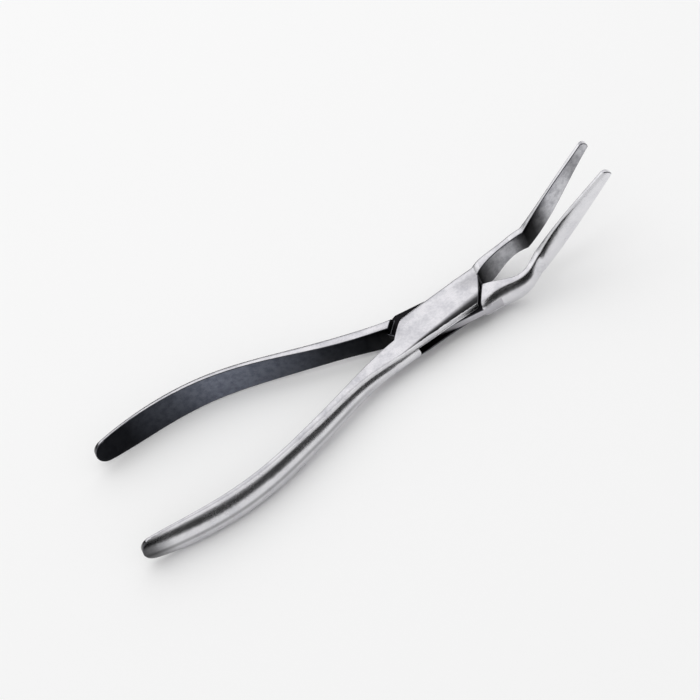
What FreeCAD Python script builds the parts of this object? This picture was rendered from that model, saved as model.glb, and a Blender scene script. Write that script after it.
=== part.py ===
"""Nasal septum forceps: two crossing steel branches and the pin that they turn on.

Units are millimetres. The pin's axis is Z, and the origin is on it, at the joint's flat
underside. Each sub-part is drawn about the middle plane of the joint and then raised by
half the joint's height. The handles lie towards -X and the blades towards +X, and the part
is modelled as it lies open. The slotted branch has its handle on the -Y side and its jaw on
the +Y side. The through branch passes through the slot, with its handle on +Y and its jaw
on -Y.
"""
import FreeCAD, Part
import math
import os

import Sketcher

Vector = FreeCAD.Vector
# Points of a sketch's edges: the start, the end and, of a circle, the centre
_, START, END, CENTRE = range(4)
ORIGIN = -START
NEAR = -1
FAR = 1

# A station is a section across a branch: its place along X, how far its flat inner face
# stands from the middle plane, its thickness at the edges, how much further its outer face
# is crowned, how softly its outer corners are rounded, and how low and high it reaches. Where
# it has a step, it lies that much further out than its neighbour on the side of the joint.
HANDLE_STATIONS = {
    "heel": {
        "step": 13.0, "x": ("palm_x", "-heel_step"),
        "inner": 27.2, "edge": 1.3, "crown": 1.2, "soft": 0.8, "low": -4.6, "high": 4.6,
    },
    "palm": {
        "step": 19.0, "x": ("belly_x", "-palm_step"),
        "inner": 29.2, "edge": 1.6, "crown": 1.9, "soft": 1.1, "low": -6.4, "high": 6.4,
    },
    "belly": {
        "step": 20.0, "x": ("bow_x", "-belly_step"),
        "inner": 30.5, "edge": 2.0, "crown": 2.2, "soft": 1.4, "low": -7.0, "high": 7.0,
    },
    "bow": {
        "step": 22.0, "x": ("sweep_x", "-bow_step"),
        "inner": 28.8, "edge": 2.4, "crown": 2.1, "soft": 1.5, "low": -6.6, "high": 6.8,
    },
    "sweep": {
        "step": 20.0, "x": ("shank_x", "-sweep_step"),
        "inner": 22.4, "edge": 2.8, "crown": 1.9, "soft": 1.5, "low": -6.1, "high": 6.2,
    },
    "shank": {
        "x": -50.0,
        "inner": 14.2, "edge": 3.8, "crown": 1.7, "soft": 1.4, "low": -4.9, "high": 5.2,
    },
}
# The slotted branch's shank spreads out to the width of the box and thins to its height.
SPREAD_STATIONS = {
    "spread": {
        "x": -35.0,
        "inner": 7.4, "edge": 5.8, "crown": 1.5, "soft": 1.2, "low": -4.1, "high": 4.2,
    },
    "ease": {
        "x": -26.0,
        "inner": 3.8, "edge": 8.0, "crown": 1.4, "soft": 1.0, "low": -3.5, "high": 3.5,
    },
    "merge": {
        "x": -20.0,
        "inner": 2.2, "edge": 9.1, "crown": 1.3, "soft": "box_soft",
        "low": "-box_half", "high": "box_half",
    },
}
# The through branch's shank keeps its height up to the shoulder.
THROAT_STATIONS = {
    "throat": {
        "x": -33.0,
        "inner": 7.7, "edge": 4.4, "crown": 1.5, "soft": 1.2, "low": -4.8, "high": 4.7,
    },
    "stop": {
        "x": -12.0,
        "inner": 1.2, "edge": 5.4, "crown": 1.4, "soft": 1.0, "low": -4.5, "high": 4.5,
    },
}
# The near side of the box, along which the cheeks run, starts where the shank merges.
NEAR_SIDE_STATIONS = {
    "near_left": {"x": "merge_x", "edge": ("merge_inner", "merge_edge", "-box_near")},
    "near_middle": {"x": -3.0, "edge": 4.4},
    "near_right": {"x": 18.0, "edge": 2.7},
}
# The far side of the box ends where the jaw flares out of it.
FAR_SIDE_STATIONS = {
    "far_left": {"x": "cheek_heel_x", "edge": ("cheek_heel_y", "-box_far")},
    "far_middle": {"x": -1.0, "edge": 3.7},
    "far_right": {"x": "flare_x", "edge": ("flare_inner", "flare_edge", "-box_far")},
}
# The slotted branch's jaw grows out of the far side of the box.
FLARE_STATIONS = {
    "flare": {
        "x": 12.0,
        "inner": 2.4, "edge": 7.1, "crown": 1.3, "soft": "box_soft",
        "low": "-box_half", "high": "box_half",
    },
    "rise": {
        "x": 20.5,
        "inner": 5.5, "edge": 4.9, "crown": 1.3, "soft": "box_soft",
        "low": "-box_half", "high": "box_half",
    },
    "far_arm": {
        "x": 26.0,
        "inner": 6.8, "edge": 4.0, "crown": 1.3, "soft": 1.0, "low": -5.2, "high": 5.6,
    },
}
# The through branch's jaw starts inside its shoulder.
ROOT_STATIONS = {
    "root": {
        "x": 14.0,
        "inner": -0.9, "edge": 10.3, "crown": 1.3, "soft": 1.0, "low": -3.2, "high": 4.3,
    },
    "hip": {
        "x": 19.0,
        "inner": 1.5, "edge": 8.3, "crown": 1.4, "soft": 1.0, "low": -4.0, "high": 4.9,
    },
    "near_arm": {
        "x": 25.0,
        "inner": 4.5, "edge": 5.2, "crown": 1.5, "soft": 1.0, "low": -4.5, "high": 5.6,
    },
}
# Both jaws bow out, turn in, and bend upwards into the blades.
ARM_STATIONS = {
    "crest": {
        "x": 33.0,
        "inner": 8.4, "edge": 2.9, "crown": 1.2, "soft": 0.9, "low": -2.8, "high": 6.2,
    },
    "turn": {
        "step": 5.5, "x": ("crest_x", "turn_step"),
        "inner": 7.8, "edge": 3.0, "crown": 1.1, "soft": 0.8, "low": -0.2, "high": 7.8,
    },
    "bend": {
        "step": 5.0, "x": ("turn_x", "bend_step"),
        "inner": 5.9, "edge": 3.1, "crown": 1.1, "soft": 0.8, "low": 1.3, "high": 10.1,
    },
}
# The blades' inner faces are flat, so how far they stand out follows from the bend.
BLADE_STATIONS = {
    "narrow": {
        "step": 6.5, "x": ("bend_x", "narrow_step"),
        "edge": 2.0, "crown": 1.0, "soft": 0.7, "low": 4.6, "high": 14.9,
    },
    "middle": {
        "step": 16.0, "x": ("narrow_x", "middle_step"),
        "edge": 1.7, "crown": 0.9, "soft": 0.6, "low": 17.0, "high": 25.1,
    },
    "point": {
        "step": 18.0, "x": ("middle_x", "point_step"),
        "edge": 0.8, "crown": 0.6, "soft": 0.4, "low": 31.3, "high": 35.9,
    },
}
STATION_SETS = (
    HANDLE_STATIONS,
    SPREAD_STATIONS,
    THROAT_STATIONS,
    NEAR_SIDE_STATIONS,
    FAR_SIDE_STATIONS,
    FLARE_STATIONS,
    ROOT_STATIONS,
    ARM_STATIONS,
    BLADE_STATIONS,
)
BOX_SIDES = ((NEAR_SIDE_STATIONS, "box_near"), (FAR_SIDE_STATIONS, "box_far"))

SIZES = {
    # How far each blade stands out from the middle for every millimetre along it
    "blade_splay": 0.0862,
    # How far the rounded heels and points stop short of the last sections
    "heel_trim": 7.2,
    "heel_round_radius": 5.6,
    "point_trim": 6.1,
    "point_round_radius": 2.5,
    # The flat middle of the box, between its crowned sides
    "box_half": 3.3,
    "box_near": 5.0,
    "box_far": 4.0,
    "box_crown": 1.3,
    "box_soft": 0.9,
    # The cheeks' shoulders, which the through branch's shoulders close up to
    "cheek_heel_x": -13.8,
    "cheek_heel_y": 5.8,
    "cheek_bow_x": -16.9,
    "cheek_bow_y": 2.3,
    "cheek_crest_x": 21.2,
    "cheek_crest_y": 5.8,
    "cheek_hollow_x": 17.5,
    "cheek_hollow_y": -2.4,
    "cheek_tip_x": 13.3,
    "cheek_tip_y": -10.4,
    # The slot and its end walls, the same on both sides of the pin
    "slot_height": 3.2,
    "slot_wall_x": 14.8,
    "slot_wall_y": 10.4,
    "slot_wall_slope": 1.1,
    "slot_reach": 15.6,
    # The flat neck of the through branch, the same on both sides of the pin
    "neck_play": 0.08,
    "neck_corner_x": 14.4,
    "neck_corner_y": 10.8,
    "neck_bulge_y": 9.2,
    "neck_waist_x": 13.5,
    "neck_waist_y": 7.3,
    # How far the neck runs back into the shank behind its shoulder, and stands clear of it
    "neck_root_run": 4.0,
    "neck_root_rise": 3.2,
    "neck_lap_run": 0.5,
    "neck_lap_rise": 0.6,
    # The through branch's shoulders
    "stop_low_x": -20.0,
    "stop_low_y": 3.0,
    "stop_high_x": -16.4,
    "stop_high_y": 7.6,
    "rest_low_x": 13.9,
    "rest_low_y": -12.4,
    "rest_middle_x": 17.7,
    "rest_middle_y": -5.5,
    "rest_high_x": 20.5,
    "rest_high_y": -1.2,
    # The pin is tight in the cheeks and runs free in the neck
    "pin_radius": 2.4,
    "pin_running_gap": 0.04,
    # A length that only has to reach past the steel
    "overrun": 30.0,
}


class Size:
    """A number together with the spreadsheet expression that it comes from."""

    def __init__(self, value, text):
        self.value = value
        self.text = text

    def _join(self, other, sign, value):
        return Size(value, "(%s %s %s)" % (self.text, sign, other.text))

    def __add__(self, other):
        other = as_size(other)
        return self._join(other, "+", self.value + other.value)

    def __sub__(self, other):
        other = as_size(other)
        return self._join(other, "-", self.value - other.value)

    def __mul__(self, other):
        other = as_size(other)
        return self._join(other, "*", self.value * other.value)

    def __truediv__(self, other):
        other = as_size(other)
        return self._join(other, "/", self.value / other.value)

    def __neg__(self):
        return Size(-self.value, "(-1 * %s)" % self.text)


def as_size(number):
    """Give a plain number the form of a Size."""
    if isinstance(number, Size):
        return number
    return Size(float(number), "(%s)" % number)


def size(name):
    """Look up a size by its name: a driving dimension, or a sum of other named sizes."""
    value = SIZES[name]
    if isinstance(value, float):
        return Size(value, "Sizes.%s" % name)
    terms = (value,) if isinstance(value, str) else value
    total = signed_size(terms[0])
    for term in terms[1:]:
        total = total + signed_size(term)
    return total


def signed_size(term):
    """Look up a size whose name may have a minus sign before it."""
    if term.startswith("-"):
        return -size(term[1:])
    return size(term)


def cosine(angle):
    """Cosine of a Size in degrees."""
    return Size(math.cos(math.radians(angle.value)), "cos(%s)" % angle.text)


def sine(angle):
    """Sine of a Size in degrees."""
    return Size(math.sin(math.radians(angle.value)), "sin(%s)" % angle.text)


def arctangent(ratio):
    """Angle in degrees of a Size that is a slope."""
    return Size(math.degrees(math.atan(ratio.value)), "(atan(%s) / 1 deg)" % ratio.text)


def name_station_sizes():
    """Give each measure of each station a name of its own among the sizes."""
    for stations, side in BOX_SIDES:
        for measures in stations.values():
            measures.update(inner=side, crown="box_crown", soft="box_soft")
            measures.update(low="-box_half", high="box_half")
    for stations in STATION_SETS:
        for station, measures in stations.items():
            for measure, value in measures.items():
                SIZES["%s_%s" % (station, measure)] = value


def write_sheet(document):
    """Put every driving dimension into the spreadsheet under its own alias."""
    sheet = document.addObject("Spreadsheet::Sheet", "Sizes")
    driving = [(name, value) for name, value in SIZES.items() if isinstance(value, float)]
    for row, (name, value) in enumerate(driving, start=1):
        sheet.set("A%d" % row, name)
        sheet.set("B%d" % row, str(value))
        sheet.setAlias("B%d" % row, name)
    document.recompute()


def add_body(document, name):
    """Start a sub-part under its own label."""
    body = document.addObject("PartDesign::Body", name)
    body.Label = name
    body.setExpression("Placement.Base.z", size("box_half").text)
    return body


def add_sketch(body, name, role, offset=None):
    """Attach a new sketch to one of the body's origin planes, shifted along its normal."""
    sketch = body.newObject("Sketcher::SketchObject", name)
    plane = next(feature for feature in body.Origin.OriginFeatures if feature.Role == role)
    sketch.AttachmentSupport = [(plane, "")]
    sketch.MapMode = "FlatFace"
    if offset is not None:
        sketch.setExpression("AttachmentOffset.Base.z", offset.text)
    return sketch


def bind(sketch, kind, references, value, label):
    """Add a sketch measure whose value comes from the spreadsheet."""
    index = sketch.addConstraint(Sketcher.Constraint(kind, *references, value.value))
    sketch.renameConstraint(index, label)
    sketch.setExpression("Constraints.%s" % label, value.text)


def pin_point(sketch, geometry, position, point, label):
    """Fix one point of the sketch at a bound place."""
    bind(sketch, "DistanceX", (ORIGIN, START, geometry, position), point[0], label + "_across")
    bind(sketch, "DistanceY", (ORIGIN, START, geometry, position), point[1], label + "_up")


def flat(point):
    """The plain vector of a bound point."""
    return Vector(point[0].value, point[1].value, 0.0)


def draw_outline(sketch, corners, arcs=None):
    """Draw a closed outline; an edge whose first corner is in arcs bows through a point."""
    corners = [(as_size(across), as_size(up)) for across, up in corners]
    arcs = {place: (as_size(across), as_size(up)) for place, (across, up) in (arcs or {}).items()}
    drawn = []
    for place, corner in enumerate(corners):
        following = corners[(place + 1) % len(corners)]
        drawn.append(draw_edge(sketch, corner, following, arcs.get(place)))
    for place, (edge, first, last) in enumerate(drawn):
        next_edge, next_first, _ = drawn[(place + 1) % len(drawn)]
        sketch.addConstraint(Sketcher.Constraint("Coincident", edge, last, next_edge, next_first))
        pin_point(sketch, edge, first, corners[place], "corner%d" % place)
    for place, through in arcs.items():
        guide = sketch.addGeometry(Part.Point(flat(through)), True)
        sketch.addConstraint(Sketcher.Constraint("PointOnObject", guide, START, drawn[place][0]))
        pin_point(sketch, guide, START, through, "bow%d" % place)


def draw_edge(sketch, corner, following, through):
    """Draw one edge and say which of its ends is the first and which the last.

    A sketch keeps every arc anticlockwise, so a clockwise one is drawn from its last end.
    """
    first = flat(corner)
    last = flat(following)
    if through is None:
        return sketch.addGeometry(Part.LineSegment(first, last), False), START, END
    middle = flat(through)
    if (last - first).cross(middle - first).z < 0:
        return sketch.addGeometry(Part.Arc(first, middle, last), False), START, END
    return sketch.addGeometry(Part.Arc(last, middle, first), False), END, START


def draw_section(body, station, side):
    """Draw a branch's section: flat inside, crowned outside, with soft outer corners."""
    sketch = add_sketch(body, "section_" + station, "YZ_Plane", size(station + "_x"))
    if station in BLADE_STATIONS:
        along = size(station + "_x") - size("bend_x")
        inner = size("bend_inner") + along * size("blade_splay")
    else:
        inner = size(station + "_inner")
    outer = inner + size(station + "_edge")
    low = size(station + "_low")
    high = size(station + "_high")
    crown = size(station + "_crown")
    soft = size(station + "_soft")
    middle = (low + high) / 2
    level = ((high - low) / 2 - soft) / ((high - low) / 2)
    shoulder = outer + crown * (as_size(1) - level * level)
    corners = [
        (inner * side, low),
        (inner * side, high),
        ((outer - soft) * side, high),
        (shoulder * side, high - soft),
        (shoulder * side, low + soft),
        ((outer - soft) * side, low),
    ]
    knuckle = (outer - soft) / 4 + outer / 2 + shoulder / 4
    arcs = {
        2: (knuckle * side, high - soft / 4),
        3: ((outer + crown) * side, middle),
        4: (knuckle * side, low + soft / 4),
    }
    draw_outline(sketch, corners, arcs)
    return sketch


def add_loft(body, name, stations, side):
    """Stretch the branch's surface over its stations."""
    sections = [draw_section(body, station, side) for station in stations]
    body.Document.recompute()
    loft = body.newObject("PartDesign::AdditiveLoft", name)
    loft.Profile = sections[0]
    loft.Sections = sections[1:]
    body.Document.recompute()
    return loft


def add_pad(body, name, sketch, height):
    """Thicken a plan outline equally above and below the middle plane."""
    pad = body.newObject("PartDesign::Pad", name)
    pad.Profile = sketch
    pad.Midplane = True
    pad.setExpression("Length", height.text)
    body.Document.recompute()
    return pad


def cut_through(body, name, sketch):
    """Cut an outline right through the body, both ways from its plane."""
    pocket = body.newObject("PartDesign::Pocket", name)
    pocket.Profile = sketch
    pocket.Type = "ThroughAll"
    pocket.Midplane = True
    body.Document.recompute()
    return pocket


def cut_middle(body, name, sketch, height):
    """Cut an outline out of the body equally above and below the middle plane."""
    pocket = body.newObject("PartDesign::Pocket", name)
    pocket.Profile = sketch
    pocket.Type = "Length"
    pocket.Midplane = True
    pocket.setExpression("Length", height.text)
    body.Document.recompute()
    return pocket


def cut_away(body, name, sketch, upwards):
    """Cut an outline out of all that lies on one side of its plane."""
    pocket = body.newObject("PartDesign::Pocket", name)
    pocket.Profile = sketch
    pocket.Type = "ThroughAll"
    pocket.Reversed = upwards
    body.Document.recompute()
    return pocket


def round_end(body, name, centre, radius, heading):
    """Round off an end seen from the side: all past the centre goes, but for a half disc."""
    sketch = add_sketch(body, name + "_outline", "XZ_Plane")
    along = (cosine(heading), sine(heading))
    across = (-sine(heading), cosine(heading))
    reach = size("overrun")

    def place(forward, sideways):
        return (
            centre[0] + along[0] * forward + across[0] * sideways,
            centre[1] + along[1] * forward + across[1] * sideways,
        )

    nothing = as_size(0)
    corners = [
        place(nothing, radius),
        place(nothing, -radius),
        place(nothing, -reach),
        place(reach, -reach),
        place(reach, reach),
        place(nothing, reach),
    ]
    draw_outline(sketch, corners, {0: place(radius, nothing)})
    return cut_through(body, name, sketch)


def blade_line(end):
    """The middle of the blade's height at one of its stations."""
    return (size(end + "_low") + size(end + "_high")) / 2


def round_both_ends(body):
    """Round the heel of the handle and the point of the blade."""
    heel = (size("heel_x") + size("heel_trim"), as_size(0))
    round_end(body, "heel_rounding", heel, size("heel_round_radius"), as_size(180))
    run = size("point_x") - size("middle_x")
    slope = (blade_line("point") - blade_line("middle")) / run
    trim = size("point_trim")
    point = (size("point_x") - trim, blade_line("point") - slope * trim)
    round_end(body, "point_rounding", point, size("point_round_radius"), arctangent(slope))


def mirrored(points):
    """Repeat points on the opposite side of the pin."""
    return [(-across, -up) for across, up in points]


def draw_pin_circle(sketch, radius):
    """Draw a circle about the pin's axis."""
    circle = sketch.addGeometry(Part.Circle(Vector(0, 0, 0), Vector(0, 0, 1), radius.value), False)
    sketch.addConstraint(Sketcher.Constraint("Coincident", circle, CENTRE, ORIGIN, START))
    bind(sketch, "Radius", (circle,), radius, "radius")


def pin_bore(body, name, radius):
    """Bore the branch for the pin."""
    sketch = add_sketch(body, name + "_outline", "XY_Plane")
    draw_pin_circle(sketch, radius)
    return cut_through(body, name, sketch)


def build_slotted_branch(document):
    """Near handle, slotted box and far jaw in one forging."""
    body = add_body(document, "slotted_branch")
    sketch = add_sketch(body, "box_outline", "XY_Plane")
    draw_box_middle(sketch)
    add_pad(body, "box", sketch, size("box_half") * 2)
    add_loft(body, "near_side", NEAR_SIDE_STATIONS, NEAR)
    add_loft(body, "far_side", FAR_SIDE_STATIONS, FAR)
    cut_cheek_hollow(body)
    add_loft(body, "near_handle", list(HANDLE_STATIONS) + list(SPREAD_STATIONS), NEAR)
    add_loft(body, "far_flare", ["flare", "rise"], FAR)
    add_loft(body, "far_jaw", ["rise", "far_arm"] + list(ARM_STATIONS), FAR)
    add_loft(body, "far_blade", ["bend"] + list(BLADE_STATIONS), FAR)
    cut_slot(body)
    pin_bore(body, "pin_seat", size("pin_radius"))
    round_both_ends(body)
    return body


def draw_box_middle(sketch):
    """Outline the flat middle of the box, from its left shoulder to past its right one."""
    corners = [
        (size("merge_x"), -size("box_near")),
        (size("merge_x"), -size("merge_inner")),
        (size("cheek_heel_x"), size("cheek_heel_y")),
        (size("cheek_heel_x"), size("box_far")),
        (size("flare_x"), size("box_far")),
        (size("cheek_crest_x"), size("cheek_crest_y")),
        (size("cheek_crest_x"), -size("box_near")),
    ]
    arcs = {1: (size("cheek_bow_x"), size("cheek_bow_y"))}
    draw_outline(sketch, corners, arcs)


def cut_cheek_hollow(body):
    """Cut the box's right end to the hollow shoulder that the near jaw turns against."""
    sketch = add_sketch(body, "cheek_hollow_outline", "XY_Plane")
    crest = (size("cheek_crest_x"), size("cheek_crest_y"))
    tip = (size("cheek_tip_x"), size("cheek_tip_y"))
    reach = size("overrun")
    corners = [tip, (tip[0], -reach), (reach, -reach), (reach, crest[1]), crest]
    draw_outline(sketch, corners, {4: (size("cheek_hollow_x"), size("cheek_hollow_y"))})
    return cut_through(body, "cheek_hollow", sketch)


def cut_slot(body):
    """Cut the slot from the near left to the far right end wall, open on both sides."""
    sketch = add_sketch(body, "slot_outline", "XY_Plane")
    wall = (size("slot_wall_x"), size("slot_wall_y"))
    slope = size("slot_wall_slope")
    foot = (wall[0] + wall[1] / slope, as_size(0))
    outside = size("slot_reach")
    side = [
        (-foot[0], foot[1]),
        (-(foot[0] - outside / slope), -outside),
        (foot[0], -outside),
    ]
    draw_outline(sketch, side + mirrored(side))
    return cut_middle(body, "slot", sketch, size("slot_height"))


def build_through_branch(document):
    """Far handle, flat neck and near jaw in one forging."""
    body = add_body(document, "through_branch")
    sketch = add_sketch(body, "neck_outline", "XY_Plane")
    stop = (size("stop_low_x"), size("stop_low_y"))
    side = [
        (stop[0] - size("neck_root_run"), stop[1] + size("neck_root_rise")),
        (stop[0] - size("neck_lap_run"), stop[1] + size("neck_lap_rise")),
        (-size("neck_waist_x"), -size("neck_waist_y")),
        (size("neck_corner_x"), -size("neck_corner_y")),
    ]
    corners = side + mirrored(side)
    arcs = {2: (as_size(0), -size("neck_bulge_y")), 6: (as_size(0), size("neck_bulge_y"))}
    draw_outline(sketch, corners, arcs)
    neck_height = size("slot_height") - size("neck_play") * 2
    add_pad(body, "neck", sketch, neck_height)
    add_loft(body, "far_handle", list(HANDLE_STATIONS) + list(THROAT_STATIONS), FAR)
    add_loft(body, "near_jaw", list(ROOT_STATIONS) + list(ARM_STATIONS), NEAR)
    add_loft(body, "near_blade", ["bend"] + list(BLADE_STATIONS), NEAR)
    for name, face, upwards in (("upper", neck_height / 2, True), ("lower", -neck_height / 2, False)):
        relief = add_sketch(body, name + "_relief_outline", "XY_Plane", face)
        draw_shoulders(relief)
        cut_away(body, name + "_relief", relief, upwards)
    pin_bore(body, "pin_bearing", size("pin_radius") + size("pin_running_gap"))
    round_both_ends(body)
    return body


def draw_shoulders(sketch):
    """Outline what is cut away above and below the neck, from shoulder to shoulder."""
    low = (size("stop_low_x"), size("stop_low_y"))
    high = (size("stop_high_x"), size("stop_high_y"))
    run = high[0] - low[0]
    rise = high[1] - low[1]
    foot = (low[0] - run, low[1] - rise)
    crest = (high[0] + run, high[1] + rise)
    rest_low = (size("rest_low_x"), size("rest_low_y"))
    rest_middle = (size("rest_middle_x"), size("rest_middle_y"))
    rest_high = (size("rest_high_x"), size("rest_high_y"))
    corners = [foot, (foot[0], rest_low[1]), rest_low, rest_high, (rest_high[0], crest[1]), crest]
    draw_outline(sketch, corners, {2: rest_middle})


def build_pivot_pin(document):
    """Straight pin, cut flush with both cheeks."""
    body = add_body(document, "pivot_pin")
    sketch = add_sketch(body, "pin_outline", "XY_Plane")
    draw_pin_circle(sketch, size("pin_radius"))
    add_pad(body, "shank", sketch, size("box_half") * 2)
    return body


def check_document(document):
    """Stop if any feature failed."""
    for item in document.Objects:
        faults = {"Invalid", "Error"} & set(item.State)
        if faults:
            raise RuntimeError("%s is %s" % (item.Name, ", ".join(sorted(faults))))


def check_shape(body):
    """Stop unless the sub-part is one sound solid."""
    shape = body.Shape
    if shape.isNull() or not shape.isValid() or len(shape.Solids) != 1:
        raise RuntimeError("%s is not one sound solid" % body.Label)


def main():
    """Build every sub-part, check it and write it out."""
    name_station_sizes()
    document = FreeCAD.newDocument("septum_forceps")
    write_sheet(document)
    bodies = [
        build_slotted_branch(document),
        build_through_branch(document),
        build_pivot_pin(document),
    ]
    document.recompute()
    check_document(document)
    os.makedirs("parts", exist_ok=True)
    for body in bodies:
        check_shape(body)
        body.Shape.exportStep("parts/%s.step" % body.Label)
        print("%s: %.1f cubic mm" % (body.Label, body.Shape.Volume))


main()
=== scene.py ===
"""Looks of a nasal septum forceps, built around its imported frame.

Lengths are in metres, in the part's own frame: the pin's axis is Z, the handles lie towards
-X and the blades towards +X.
"""
import logging
import math
from dataclasses import dataclass, field
from enum import Enum

import bmesh
import bpy
from mathutils import Matrix, Vector
from mathutils.bvhtree import BVHTree


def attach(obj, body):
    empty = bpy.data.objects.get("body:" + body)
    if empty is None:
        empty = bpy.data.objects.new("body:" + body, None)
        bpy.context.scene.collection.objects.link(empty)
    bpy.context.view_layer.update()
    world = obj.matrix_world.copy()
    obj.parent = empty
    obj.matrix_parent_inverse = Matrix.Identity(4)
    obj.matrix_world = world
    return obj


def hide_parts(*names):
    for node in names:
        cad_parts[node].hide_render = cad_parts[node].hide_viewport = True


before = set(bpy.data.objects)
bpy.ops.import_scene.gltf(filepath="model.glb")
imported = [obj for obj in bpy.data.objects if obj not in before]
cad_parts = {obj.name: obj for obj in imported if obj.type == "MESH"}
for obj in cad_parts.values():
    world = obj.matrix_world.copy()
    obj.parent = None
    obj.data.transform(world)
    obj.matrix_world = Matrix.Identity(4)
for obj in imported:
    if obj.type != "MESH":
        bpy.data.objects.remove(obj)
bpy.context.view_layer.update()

LOG = logging.getLogger("septum_forceps")
Colour = tuple[float, float, float]
Stop = tuple[float, Colour]


class Face(Enum):
    """Which finish a face of a branch takes, painted shade included, as its place among the material slots.
    """

    OUTSIDE = 0
    # the grip and jaw faces carry painted dark reflection; the slot, neck and edge faces carry painted
    # shadow
    GRIP = 1
    JAW = 2
    FLAT = 3
    # faces in the slot, the box's walls and the lower cheek's side: painted shadow
    HIDDEN = 4
    NECK = 5
    EDGE = 6


def activate(piece: bpy.types.Object) -> None:
    """Select one object alone and make it the active one.

    Args:
        piece: The object that the next operators act on.
    """
    bpy.ops.object.select_all(action="DESELECT")
    piece.select_set(True)
    bpy.context.view_layer.objects.active = piece


def rgba(colour: Colour) -> tuple[float, float, float, float]:
    """Give a colour its opaque fourth number."""
    return (*colour, 1.0)


class NodeSheet:
    """A material's node tree, with short calls to add and join its nodes."""

    def __init__(self, name: str) -> None:
        """Start an empty material.

        Args:
            name: The material's name.
        """
        self.material = bpy.data.materials.new(name)
        self.material.use_nodes = True
        self.tree = self.material.node_tree
        self.tree.nodes.clear()

    def add(self, kind: str, settings: dict | None = None, **inputs: object) -> bpy.types.Node:
        """Add a node.

        Args:
            kind: The node's type without its ShaderNode prefix.
            settings: The node's own properties.
            **inputs: Socket values or links by the socket's name, with _ for a space.

        Returns:
            The new node.
        """
        node = self.tree.nodes.new("ShaderNode" + kind)
        for name, value in (settings or {}).items():
            setattr(node, name, value)
        for name, value in inputs.items():
            self.feed(node.inputs[name.replace("_", " ")], value)
        return node

    def feed(self, socket: bpy.types.NodeSocket, value: object) -> None:
        """Link a socket, or set its own value.

        Args:
            socket: The input to fill.
            value: Another node's output, or a plain value.
        """
        if isinstance(value, bpy.types.NodeSocket):
            self.tree.links.new(value, socket)
        else:
            socket.default_value = value

    def math(self, operation: str, first: object, second: object = 0.0) -> bpy.types.NodeSocket:
        """Add a Math node.

        Args:
            operation: What it works out, such as ADD.
            first: The first number or link.
            second: The second number or link.

        Returns:
            The result.
        """
        node = self.add("Math", {"operation": operation})
        self.feed(node.inputs[0], first)
        self.feed(node.inputs[1], second)
        return node.outputs[0]

    def ramp(self, factor: bpy.types.NodeSocket, stops: list[Stop]) -> bpy.types.NodeSocket:
        """Add a colour ramp.

        Args:
            factor: What runs along the ramp, from 0 to 1.
            stops: Places and colours, in rising order.

        Returns:
            The ramp's colour.
        """
        node = self.add("ValToRGB", Fac=factor)
        elements = node.color_ramp.elements
        while len(elements) < len(stops):
            elements.new(0.5)
        for element, (place, colour) in zip(elements, stops):
            element.position = place
            element.color = rgba(colour)
        return node.outputs["Color"]

    def mix(self, kind: str, factor: object, first: object, second: object) -> bpy.types.NodeSocket:
        """Blend two colours and return the result.

        Args:
            kind: The blend type, such as MIX or MULTIPLY.
            factor: How much of the second shows.
            first: The lower colour.
            second: The upper colour.

        Returns:
            The mixed colour.
        """
        node = self.add("Mix", {"data_type": "RGBA", "blend_type": kind})
        self.feed(node.inputs[0], factor)
        self.feed(node.inputs[6], first)
        self.feed(node.inputs[7], second)
        return node.outputs[2]

    def spread(
        self, value: object, low: float, high: float, first: float, last: float
    ) -> bpy.types.NodeSocket:
        """Map a number from one range to another, held at the ends.

        Args:
            value: The number to map.
            low: Where the first range starts.
            high: Where the first range ends.
            first: Where the second range starts.
            last: Where the second range ends.

        Returns:
            The mapped number.
        """
        node = self.add("MapRange", {"clamp": True})
        for socket, number in zip(node.inputs, (value, low, high, first, last)):
            self.feed(socket, number)
        return node.outputs[0]

    def noise(
        self, place: bpy.types.NodeSocket, scale: float, detail: float = 3.0
    ) -> bpy.types.NodeSocket:
        """Add a noise pattern.

        Args:
            place: Where on the object.
            scale: How fine the pattern is.
            detail: How many finer layers it has.

        Returns:
            The pattern's value.
        """
        settings = {"noise_dimensions": "3D"}
        return self.add("TexNoise", settings, Vector=place, Scale=scale, Detail=detail).outputs["Fac"]

    def greys(
        self, factor: bpy.types.NodeSocket, levels: tuple[tuple[float, float], ...]
    ) -> bpy.types.NodeSocket:
        """Add a ramp of greys.

        Args:
            factor: What runs along the ramp, from 0 to 1.
            levels: Places and brightness, in rising order.

        Returns:
            The ramp's colour.
        """
        return self.ramp(factor, [(place, (level, level, level)) for place, level in levels])


@dataclass(frozen=True)
class PaintedReflection:
    """A painted reflection: a soft darker line drawn over X, in plan (Y) or in height (Z), fading in along
    X.
    """

    slope: float
    level: float
    half_width: float
    widening: float
    fade_from: float
    fade_to: float
    stops: tuple[tuple[float, float], ...]
    axis: str = "Y"

    def lay(
        self, sheet: NodeSheet, place: bpy.types.NodeSocket, colour: bpy.types.NodeSocket
    ) -> bpy.types.NodeSocket:
        """Darken a colour along the line, as a painted reflection.

        Args:
            sheet: The material's nodes.
            place: Where on the object.
            colour: The colour without the painted reflection.

        Returns:
            The colour with the painted reflection.
        """
        axes = sheet.add("SeparateXYZ", Vector=place).outputs
        line = sheet.math("ADD", sheet.math("MULTIPLY", axes["X"], self.slope), self.level)
        distance = sheet.math("ABSOLUTE", sheet.math("SUBTRACT", axes[self.axis], line))
        width = sheet.math("ADD", sheet.math("MULTIPLY", axes["X"], self.widening), self.half_width)
        darkness = sheet.greys(sheet.math("DIVIDE", distance, width), self.stops)
        strength = sheet.spread(axes["X"], self.fade_from, self.fade_to, 0.0, 1.0)
        # painted reflection: the colour is darkened along the line
        return sheet.mix("MULTIPLY", strength, colour, darkness)


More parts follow.
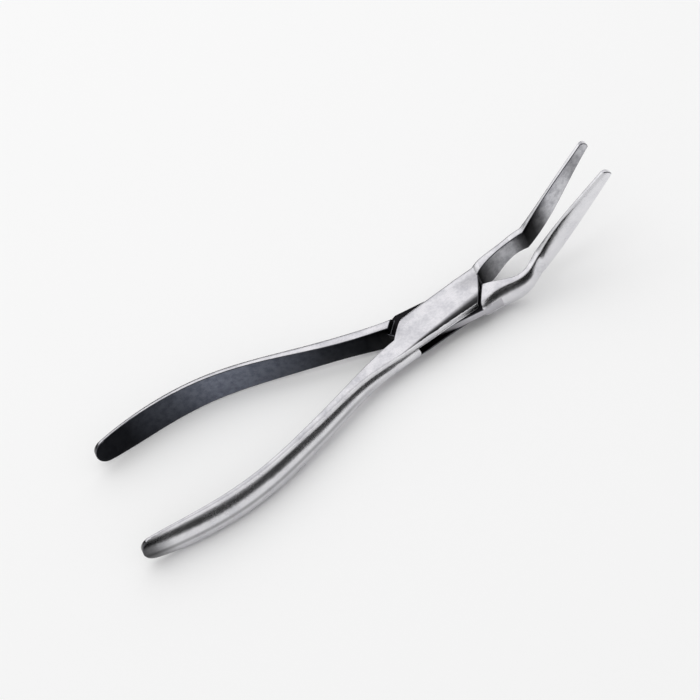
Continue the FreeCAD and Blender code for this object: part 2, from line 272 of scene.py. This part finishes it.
@dataclass(frozen=True)
class Steel:
    """A ground and polished steel surface, with its grain and faint clouding, and where given, painted shade
    along X and a painted reflection line.
    """

    name: str
    tone: Colour
    shade: Colour
    rough_low: float
    rough_high: float
    brush_scale: float = 900.0
    brush_stretch: float = 0.05
    cloud_scale: float = 160.0
    cloud_depth: float = 0.22
    cloud_low: float = 0.42
    cloud_high: float = 0.66
    fine_clouds: float = 7.0
    main_share: float = 0.6
    bump: float = 0.05
    bump_depth: float = 0.00005
    # painted shade: darker levels along X, multiplied into the colour
    painted_shade_bands: tuple[tuple[float, float], ...] = ()
    band_from: float = 0.0
    band_to: float = 1.0
    # painted reflection: a dark line multiplied into the colour
    painted_reflection: PaintedReflection | None = None

    def build(self) -> bpy.types.Material:
        """Make the material.

        Returns:
            The finished material.
        """
        sheet = NodeSheet(self.name)
        place = sheet.add("TexCoord").outputs["Object"]
        colour, clouds = self.tone_nodes(sheet, place)
        brushing = self.brush_nodes(sheet, place)
        wear = self.blend(sheet, clouds, brushing)
        roughness = sheet.spread(wear, 0.3, 0.7, self.rough_low, self.rough_high)
        relief = sheet.add("Bump", Strength=self.bump, Distance=self.bump_depth, Height=brushing)
        shader = sheet.add(
            "BsdfPrincipled", Base_Color=colour, Metallic=1.0, Roughness=roughness,
            Normal=relief.outputs["Normal"],
        )
        sheet.add("OutputMaterial", Surface=shader.outputs["BSDF"])
        return sheet.material

    def blend(
        self, sheet: NodeSheet, main: bpy.types.NodeSocket, other: bpy.types.NodeSocket
    ) -> bpy.types.NodeSocket:
        """Add two patterns up, the main one with the larger share.

        Args:
            sheet: The material's nodes.
            main: The main pattern.
            other: The other pattern.

        Returns:
            Their weighted sum.
        """
        larger = sheet.math("MULTIPLY", main, self.main_share)
        smaller = sheet.math("MULTIPLY", other, 1.0 - self.main_share)
        return sheet.math("ADD", larger, smaller)

    def tone_nodes(
        self, sheet: NodeSheet, place: bpy.types.NodeSocket
    ) -> tuple[bpy.types.NodeSocket, bpy.types.NodeSocket]:
        """Lay out the colour: a main tone, clouded with a darker one, then painted shade along X and a
        painted reflection line.

        Args:
            sheet: The material's nodes.
            place: Where on the object.

        Returns:
            The colour and the clouding.
        """
        clouds = sheet.noise(place, self.cloud_scale)
        fine = sheet.noise(place, self.cloud_scale * self.fine_clouds, 4.0)
        both = self.blend(sheet, clouds, fine)
        amount = sheet.spread(both, self.cloud_low, self.cloud_high, 0.0, self.cloud_depth * 2.0)
        colour = sheet.mix("MIX", amount, rgba(self.tone), rgba(self.shade))
        # painted shade along X
        if self.painted_shade_bands:
            across = sheet.add("SeparateXYZ", Vector=place).outputs["X"]
            along = sheet.spread(across, self.band_from, self.band_to, 0.0, 1.0)
            colour = sheet.mix("MULTIPLY", 1.0, colour, sheet.greys(along, self.painted_shade_bands))
        # painted reflection line
        if self.painted_reflection is not None:
            colour = self.painted_reflection.lay(sheet, place, colour)
        return colour, clouds

    def brush_nodes(self, sheet: NodeSheet, place: bpy.types.NodeSocket) -> bpy.types.NodeSocket:
        """Lay out fine scratches that run along the branch.

        Args:
            sheet: The material's nodes.
            place: Where on the object.

        Returns:
            The scratches' height.
        """
        stretched = sheet.add(
            "Mapping", {"vector_type": "POINT"}, Vector=place, Scale=(self.brush_stretch, 1.0, 1.0)
        )
        return sheet.noise(stretched.outputs["Vector"], self.brush_scale, 4.0)


@dataclass(frozen=True)
class Matt:
    """A plain surface of the studio."""

    name: str
    colour: Colour

    def build(self) -> bpy.types.Material:
        """Make the material.

        Returns:
            The finished material.
        """
        sheet = NodeSheet(self.name)
        shader = sheet.add("BsdfDiffuse", Color=rgba(self.colour), Roughness=0.0)
        sheet.add("OutputMaterial", Surface=shader.outputs["BSDF"])
        return sheet.material


@dataclass
class ForgedBranch:
    """One forged branch: handle, its share of the joint, jaw arm and blade."""

    node: str
    body: str
    finishes_and_painted_shade: dict[Face, Steel]
    handle_side: float
    jaw_start: float
    handle_end: float
    has_neck: bool
    slot: str = "branch_steel"
    merge_distance: float = 0.000002
    flat_angle: float = 0.15
    edge_round: float = 0.00026
    edge_segments: int = 2
    edge_angle: float = 24.0
    stray_limit: float = 0.00014
    smooth_angle: float = 38.0
    bore_radius: float = 0.0026
    seam_width: float = 0.00008
    splinter_area: float = 0.00000002
    corner_angle: float = 50.0
    inside_slope: float = 0.6
    flat_slope: float = 0.93
    joint_left: float = -0.0225
    joint_right: float = 0.0225
    slot_left: float = -0.0142
    slot_low: float = 0.00165
    slot_high: float = 0.00495
    slot_margin: float = 0.0002
    wall_slope: float = 0.4
    wall_turn: float = 0.75

    def build(self) -> bpy.types.Object:
        """Make the branch's piece and set it in place.

        Returns:
            The finished piece.
        """
        piece = self.copy_frame_mesh()
        self.sort_faces(piece)
        self.mark_edges(piece)
        self.soften_edges(piece)
        self.hold_to_frame(piece)
        self.smooth(piece)
        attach(piece, self.body)
        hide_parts(self.node)
        LOG.info("%s: %d faces", piece.name, len(piece.data.polygons))
        return piece

    def copy_frame_mesh(self) -> bpy.types.Object:
        """Copy the node's mesh, join its loose triangles and clear away the cuts in flat faces.

        Returns:
            The copy, ready to be worked on.
        """
        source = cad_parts[self.node]
        piece = bpy.data.objects.new(self.node + "_steel", source.data.copy())
        bpy.context.scene.collection.objects.link(piece)
        piece.data.materials.clear()
        activate(piece)
        bpy.ops.object.mode_set(mode="EDIT")
        bpy.ops.mesh.select_all(action="SELECT")
        bpy.ops.mesh.remove_doubles(threshold=self.merge_distance)
        bpy.ops.mesh.customdata_custom_splitnormals_clear()
        bpy.ops.mesh.dissolve_limited(angle_limit=math.radians(self.flat_angle))
        bpy.ops.object.mode_set(mode="OBJECT")
        return piece

    def sort_faces(self, piece: bpy.types.Object) -> None:
        """Give each face the finish of its place on the branch, painted shade included.

        Args:
            piece: The branch.
        """
        for kind in Face:
            piece.data.materials.append(self.finishes_and_painted_shade[kind].build())
        for polygon in piece.data.polygons:
            polygon.material_index = self.face_kind(polygon.normal, polygon.center).value

    def face_kind(self, normal: Vector, centre: Vector) -> Face:
        """Tell which finish a face takes, painted shade included.

        Args:
            normal: Which way the face looks.
            centre: The face's middle.

        Returns:
            The kind of face.
        """
        if self.joint_left < centre.x < self.joint_right:
            joint_kind = self.neck_kind(normal, centre) if self.has_neck else self.box_kind(normal, centre)
            if joint_kind is not None:
                return joint_kind
        on_handle = centre.x < self.handle_end
        towards_middle = -self.handle_side if on_handle else self.handle_side
        if normal.y * towards_middle > self.inside_slope:
            if on_handle:
                return Face.GRIP
            if centre.x > self.jaw_start:
                return Face.JAW
        if normal.z > self.flat_slope or normal.z < -self.flat_slope:
            return Face.FLAT
        return Face.OUTSIDE

    def is_wall(self, normal: Vector) -> bool:
        """Tell whether a face stands across the joint, as the cheeks' ends and the shoulders do.

        Args:
            normal: Which way the face looks.

        Returns:
            Whether it does.
        """
        upright = abs(normal.z) < self.wall_slope
        return upright and abs(normal.x) > self.wall_slope and abs(normal.y) < self.wall_turn

    def box_kind(self, normal: Vector, centre: Vector) -> Face | None:
        """Find the box's faces that take the painted shadow: inside the slot, its end walls and the lower
        cheek.

        Args:
            normal: Which way the face looks.
            centre: The face's middle.

        Returns:
            The kind of face, or nothing for an outer one.
        """
        in_slot = self.slot_low < centre.z < self.slot_high and abs(normal.y) < self.inside_slope
        lower_side = centre.z < self.slot_low and normal.y < -self.wall_slope and centre.x > self.slot_left
        # painted shadow on the slot's faces, the end walls and the lower cheek's near side
        return Face.HIDDEN if in_slot or self.is_wall(normal) or lower_side else None

    def neck_kind(self, normal: Vector, centre: Vector) -> Face | None:
        """Find the neck's faces and the shoulders beside it, most of which take painted shadow.

        Args:
            normal: Which way the face looks.
            centre: The face's middle.

        Returns:
            The kind of face, or nothing for an outer one.
        """
        if self.is_wall(normal):
            # painted shadow on the shoulders
            return Face.HIDDEN
        if self.slot_low - self.slot_margin < centre.z < self.slot_high + self.slot_margin:
            # the neck's near side takes the neck material with its painted shadow; its other faces in the
            # slot take painted shadow
            if normal.y < -self.inside_slope:
                return Face.NECK
            return None if normal.y > self.wall_slope else Face.HIDDEN
        return None

    def mark_edges(self, piece: bpy.types.Object) -> None:
        """Mark the sharp edges to be rounded, all but those of the pin's bore.

        Args:
            piece: The branch.
        """
        shape = bmesh.new()
        shape.from_mesh(piece.data)
        weight = shape.edges.layers.float.new("bevel_weight_edge")
        limit = math.radians(self.edge_angle)
        for edge in shape.edges:
            sharp = len(edge.link_faces) == 2 and edge.calc_face_angle() > limit
            if sharp and not self.on_bore(edge) and not self.on_smooth_part(edge):
                edge[weight] = 1.0
        shape.to_mesh(piece.data)
        shape.free()

    def on_bore(self, edge: bmesh.types.BMEdge) -> bool:
        """Tell whether an edge runs round the pin's bore, where both stay flush."""
        return all(vertex.co.xy.length < self.bore_radius for vertex in edge.verts)

    def on_smooth_part(self, edge: bmesh.types.BMEdge) -> bool:
        """Tell whether an edge only marks a seam or a splinter of the mesh on a smooth part.

        Args:
            edge: An edge that looks sharp.

        Returns:
            Whether it stays as it is.
        """
        smooth_kinds = (Face.OUTSIDE.value, Face.FLAT.value, Face.JAW.value, Face.NECK.value)
        if any(face.material_index not in smooth_kinds for face in edge.link_faces):
            return False
        kinds = {face.material_index for face in edge.link_faces}
        if Face.JAW.value in kinds and len(kinds) == 2:
            return False
        first, last = (vertex.co.x for vertex in edge.verts)
        splinter = min(face.calc_area() for face in edge.link_faces) < self.splinter_area
        blunt = edge.calc_face_angle() < math.radians(self.corner_angle)
        return blunt or splinter or abs(first - last) < self.seam_width

    def soften_edges(self, piece: bpy.types.Object) -> None:
        """Round the marked edges a little, as polishing does, and give the rounds painted dark shade.

        Args:
            piece: The branch.
        """
        activate(piece)
        bevel = piece.modifiers.new("polished_edges", "BEVEL")
        bevel.width = self.edge_round
        bevel.segments = self.edge_segments
        bevel.limit_method = "WEIGHT"
        # painted shade: the rounded faces take the dark edge material
        bevel.material = Face.EDGE.value
        bevel.use_clamp_overlap = False
        bpy.ops.object.modifier_apply(modifier=bevel.name)

    def hold_to_frame(self, piece: bpy.types.Object) -> None:
        """Bring back every vertex that the rounding threw off the frame's surface.

        Args:
            piece: The branch.
        """
        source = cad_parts[self.node].data
        surface = BVHTree.FromPolygons(
            [vertex.co.copy() for vertex in source.vertices],
            [tuple(polygon.vertices) for polygon in source.polygons],
        )
        for vertex in piece.data.vertices:
            place, _, _, distance = surface.find_nearest(vertex.co)
            if distance > self.stray_limit:
                vertex.co = place

    def smooth(self, piece: bpy.types.Object) -> None:
        """Smooth the shading between faces that meet softly.

        Args:
            piece: The branch.
        """
        activate(piece)
        bpy.ops.object.shade_smooth_by_angle(angle=math.radians(self.smooth_angle))


@dataclass
class PivotPin:
    """The pin, ground flush with both cheeks."""

    node: str = "pivot_pin"
    body: str = "slotted_body"
    slot: str = "pin_steel"
    finish: Steel = field(
        default_factory=lambda: Steel(
            name="pin_steel", tone=(0.71, 0.7, 0.73), shade=(0.44, 0.44, 0.48),
            rough_low=0.24, rough_high=0.36, cloud_depth=0.36,
        )
    )

    def build(self) -> bpy.types.Object:
        """Dress the pin's own node.

        Returns:
            The pin.
        """
        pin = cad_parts[self.node]
        pin.data.materials.clear()
        pin.data.materials.append(self.finish.build())
        LOG.info("%s: %d faces", pin.name, len(pin.data.polygons))
        return pin


@dataclass
class Card:
    """A sheet of dark card that only reflections see: its middle, size, tilt, turn and tone."""

    name: str
    place: tuple[float, float, float]
    width: float
    height: float
    tilt: float = 0.0
    turn: float = 0.0
    tone: float = 0.01


@dataclass
class Softbox:
    """A soft area lamp aimed at the joint."""

    name: str
    azimuth: float
    elevation: float
    distance: float
    width: float
    height: float
    radiance: float
    in_reflections: bool = True


@dataclass
class Studio:
    """Floor, cards, lamps, world and camera."""

    floor_level: float = -0.0038
    floor_half: float = 4.0
    floor_colour: Colour = (0.95, 0.95, 0.95)
    world_level: float = 0.75
    aim: tuple[float, float, float] = (-0.0361269, 0.0084418, 0.0033)
    azimuth: float = -3.20178
    elevation: float = 44.97896
    roll: float = 28.164616
    distance: float = 0.8868875
    focal_pixels: float = 2291.198
    picture_pixels: float = 700.0
    sensor: float = 36.0
    softboxes: tuple[Softbox, ...] = (
        Softbox("lamp_behind", 180.0, 45.0, 1.1, 1.4, 0.7, 0.42),
        Softbox("lamp_above", 0.0, 80.0, 1.2, 1.2, 0.4, 0.25),
        Softbox("lamp_fill", 180.0, 85.0, 1.3, 1.3, 1.3, 0.6, in_reflections=False),
    )
    cards: tuple[Card, ...] = (
        Card("card_by_handle", (-0.088, -0.058, 0.0062), 0.204, 0.016, 90.0, tone=0.03),
        Card("card_above_handle", (-0.098, -0.058, 0.0232), 0.184, 0.018, 90.0, tone=0.3),
        Card("card_past_handle", (-0.07, 0.085, 0.0115), 0.24, 0.03, 90.0),
        Card("card_by_shank", (-0.052, -0.036, 0.0068), 0.064, 0.0135, 90.0, 20.0, 0.05),
        Card("card_over_jaw", (0.0315, -0.0225, 0.032), 0.034, 0.027),
        Card("card_by_jaw", (0.0315, -0.036, 0.0151), 0.034, 0.0338, 90.0),
        Card("card_behind", (-0.36, 0.37, 0.09), 0.34, 0.2, 90.0, 45.0),
    )

    def build(self) -> None:
        """Set up everything that isn't the object."""
        self.add_floor()
        self.add_world()
        for softbox in self.softboxes:
            self.add_softbox(softbox)
        for card in self.cards:
            self.add_card(card)
        self.add_camera()

    def add_plane(self, name: str, half: float) -> bpy.types.Object:
        """Add a square sheet at the origin.

        Args:
            name: The sheet's name.
            half: Half of its side.

        Returns:
            The sheet.
        """
        bpy.ops.object.select_all(action="DESELECT")
        bpy.ops.mesh.primitive_plane_add(size=half * 2.0)
        plane = bpy.context.active_object
        plane.name = name
        return plane

    def add_floor(self) -> None:
        """Lay the pale floor under the handles."""
        floor = self.add_plane("floor", self.floor_half)
        floor.location.z = self.floor_level
        floor.data.materials.append(Matt("pale_floor", self.floor_colour).build())

    def add_card(self, card: Card) -> None:
        """Stand a dark card beside the object.

        Args:
            card: Its size and place.
        """
        sheet = self.add_plane(card.name, 0.5)
        sheet.scale = (card.width, card.height, 1.0)
        sheet.rotation_euler = (math.radians(card.tilt), 0.0, math.radians(card.turn))
        sheet.location = card.place
        sheet.data.materials.append(Matt(card.name + "_matt", (card.tone, card.tone, card.tone)).build())
        sheet.visible_camera = False
        sheet.visible_diffuse = False
        sheet.visible_transmission = False
        sheet.visible_shadow = False

    def add_softbox(self, softbox: Softbox) -> None:
        """Hang a soft lamp and aim it at the joint.

        Args:
            softbox: Its size, place and brightness.
        """
        area = softbox.width * softbox.height
        data = bpy.data.lights.new(softbox.name, "AREA")
        data.shape = "RECTANGLE"
        data.size = softbox.width
        data.size_y = softbox.height
        data.energy = softbox.radiance * math.pi * area
        lamp = bpy.data.objects.new(softbox.name, data)
        back = direction(softbox.azimuth, softbox.elevation)
        lamp.location = Vector(self.aim) + back * softbox.distance
        lamp.rotation_mode = "QUATERNION"
        lamp.rotation_quaternion = (-back).to_track_quat("-Z", "Y")
        lamp.visible_glossy = softbox.in_reflections
        bpy.context.scene.collection.objects.link(lamp)

    def add_world(self) -> None:
        """Surround everything with an even soft light."""
        world = bpy.data.worlds.new("studio")
        world.use_nodes = True
        background = world.node_tree.nodes["Background"]
        background.inputs["Color"].default_value = (1.0, 1.0, 1.0, 1.0)
        background.inputs["Strength"].default_value = self.world_level
        bpy.context.scene.world = world

    def add_camera(self) -> None:
        """Place the camera at the viewing angle of the photograph."""
        data = bpy.data.cameras.new("camera")
        data.sensor_width = self.sensor
        data.lens = self.focal_pixels / self.picture_pixels * self.sensor
        data.clip_start = self.distance * 0.05
        data.clip_end = self.distance * 50.0
        camera = bpy.data.objects.new("camera", data)
        back = direction(self.azimuth, self.elevation)
        right = Vector((0.0, 0.0, 1.0)).cross(back).normalized()
        up = back.cross(right)
        turn = math.radians(self.roll)
        across = right * math.cos(turn) - up * math.sin(turn)
        above = right * math.sin(turn) + up * math.cos(turn)
        axes = Matrix((across, above, back)).transposed()
        camera.matrix_world = Matrix.Translation(Vector(self.aim) + back * self.distance) @ axes.to_4x4()
        bpy.context.scene.collection.objects.link(camera)
        bpy.context.scene.camera = camera


def direction(azimuth: float, elevation: float) -> Vector:
    """Point from the object towards a place in the studio.

    Args:
        azimuth: Degrees round the object, 0 in front and 90 at the blades' end.
        elevation: Degrees above the floor.

    Returns:
        The direction, one long.
    """
    turn, rise = math.radians(azimuth), math.radians(elevation)
    return Vector((math.sin(turn) * math.cos(rise), -math.cos(turn) * math.cos(rise), math.sin(rise)))


def finishes_and_painted_shade(painted_reflection: PaintedReflection | None = None) -> dict[Face, Steel]:
    """Describe the finish of each kind of face, with the painted shade and painted reflection some of them
    carry.

    Args:
        painted_reflection: The painted reflection line over the flat faces, if there is one.

    Returns:
        Each kind's finish, painted shade included.
    """
    return {
        Face.OUTSIDE: Steel(
            name="polished_steel_with_painted_shade", tone=(0.79, 0.785, 0.81), shade=(0.56, 0.56, 0.6),
            rough_low=0.22, rough_high=0.3, bump=0.015,
            # painted shade: darker towards the handles' ends
            painted_shade_bands=((0.0, 0.1), (0.02, 0.22), (0.06, 1.0), (1.0, 1.0)), band_from=-0.1424, band_to=0.0804,
            # painted reflection: a dark line along the handles' crowned outer sides
            painted_reflection=PaintedReflection(
                slope=0.008, level=0.0032, half_width=0.0014, widening=0.0, fade_from=-0.026, fade_to=-0.05,
                stops=((0.0, 0.52), (0.3, 0.62), (1.0, 1.0)), axis="Z",
            ),
        ),
        # handles' inner faces: painted dark reflection, graded along X
        Face.GRIP: Steel(
            name="grip_painted_reflection", tone=(0.185, 0.2, 0.245), shade=(0.12, 0.132, 0.17),
            rough_low=0.3, rough_high=0.42, cloud_scale=420.0, cloud_depth=0.6,
            painted_shade_bands=(
                (0.0, 0.05), (0.12, 0.05), (0.28, 0.36), (0.43, 1.0),
                (0.52, 0.88), (0.66, 0.42), (0.76, 0.12), (0.9, 0.03),
            ),
            band_from=-0.143, band_to=-0.014,
        ),
        # jaws' and blades' inner faces: painted shade and dark reflection, graded along X
        Face.JAW: Steel(
            name="jaw_painted_shade_and_reflection", tone=(0.68, 0.68, 0.71), shade=(0.44, 0.44, 0.47),
            rough_low=0.28, rough_high=0.4, cloud_scale=420.0, cloud_depth=0.6,
            painted_shade_bands=(
                (0.0, 0.01), (0.13, 0.02), (0.2, 0.3), (0.3, 0.85), (0.37, 0.8), (0.42, 0.15),
                (0.46, 0.015), (0.52, 0.03), (0.58, 0.2), (0.66, 1.0), (0.8, 0.85), (0.86, 0.5), (1.0, 0.95),
            ),
            band_from=0.013, band_to=0.081,
        ),
        # flat faces: satin steel, with a painted reflection line where one is given
        Face.FLAT: Steel(
            name="satin_steel", tone=(0.71, 0.7, 0.73), shade=(0.44, 0.44, 0.48),
            rough_low=0.24, rough_high=0.36, cloud_depth=0.36, painted_reflection=painted_reflection,
        ),
        # painted shadow: near-black for the slot, the box's walls, the lower cheek's side and the neck's
        # faces in the slot
        Face.HIDDEN: Steel(
            name="slot_painted_shadow", tone=(0.012, 0.011, 0.013), shade=(0.007, 0.007, 0.008),
            rough_low=0.4, rough_high=0.55,
        ),
        # neck's near side: painted shadow, darkest deep in the slot, light where it comes out by the near
        # jaw
        Face.NECK: Steel(
            name="neck_painted_shadow", tone=(0.55, 0.54, 0.57), shade=(0.4, 0.4, 0.43),
            rough_low=0.25, rough_high=0.35,
            painted_shade_bands=((0.0, 0.02), (0.15, 0.03), (0.5, 0.4), (0.8, 1.0)), band_from=-0.014, band_to=0.015,
        ),
        # rounded edges: painted dark shade along every rounded edge
        Face.EDGE: Steel(
            name="edge_painted_shade", tone=(0.12, 0.12, 0.135), shade=(0.08, 0.08, 0.09),
            rough_low=0.2, rough_high=0.3,
        ),
    }


def branches() -> list[ForgedBranch]:
    """Describe both branches.

    Returns:
        The slotted branch and the through branch.
    """
    # painted reflection: a dark line over the box's top along its near edge
    box_painted_reflection = PaintedReflection(
        slope=0.12, level=-0.0084, half_width=0.00255, widening=0.1, fade_from=-0.022, fade_to=-0.012,
        stops=((0.0, 0.03), (0.4, 0.1), (0.65, 0.45), (1.0, 1.0)),
    )
    return [
        ForgedBranch(
            node="slotted_branch", body="slotted_body", finishes_and_painted_shade=finishes_and_painted_shade(box_painted_reflection), handle_side=-1.0,
            jaw_start=0.016, handle_end=-0.018, has_neck=False,
        ),
        ForgedBranch(
            node="through_branch", body="through_body", finishes_and_painted_shade=finishes_and_painted_shade(), handle_side=1.0,
            jaw_start=0.013, handle_end=-0.012, has_neck=True,
        ),
    ]


def write_sizes() -> None:
    """Bring the view layer up to date."""
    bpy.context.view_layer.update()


def main() -> None:
    """Build the branches, the pin and the studio."""
    logging.basicConfig(level=logging.INFO, format="%(message)s")
    for branch in branches():
        branch.build()
    PivotPin().build()
    Studio().build()
    bpy.context.scene.view_settings.view_transform = "Standard"
    write_sizes()


if __name__ == "__main__":
    main()
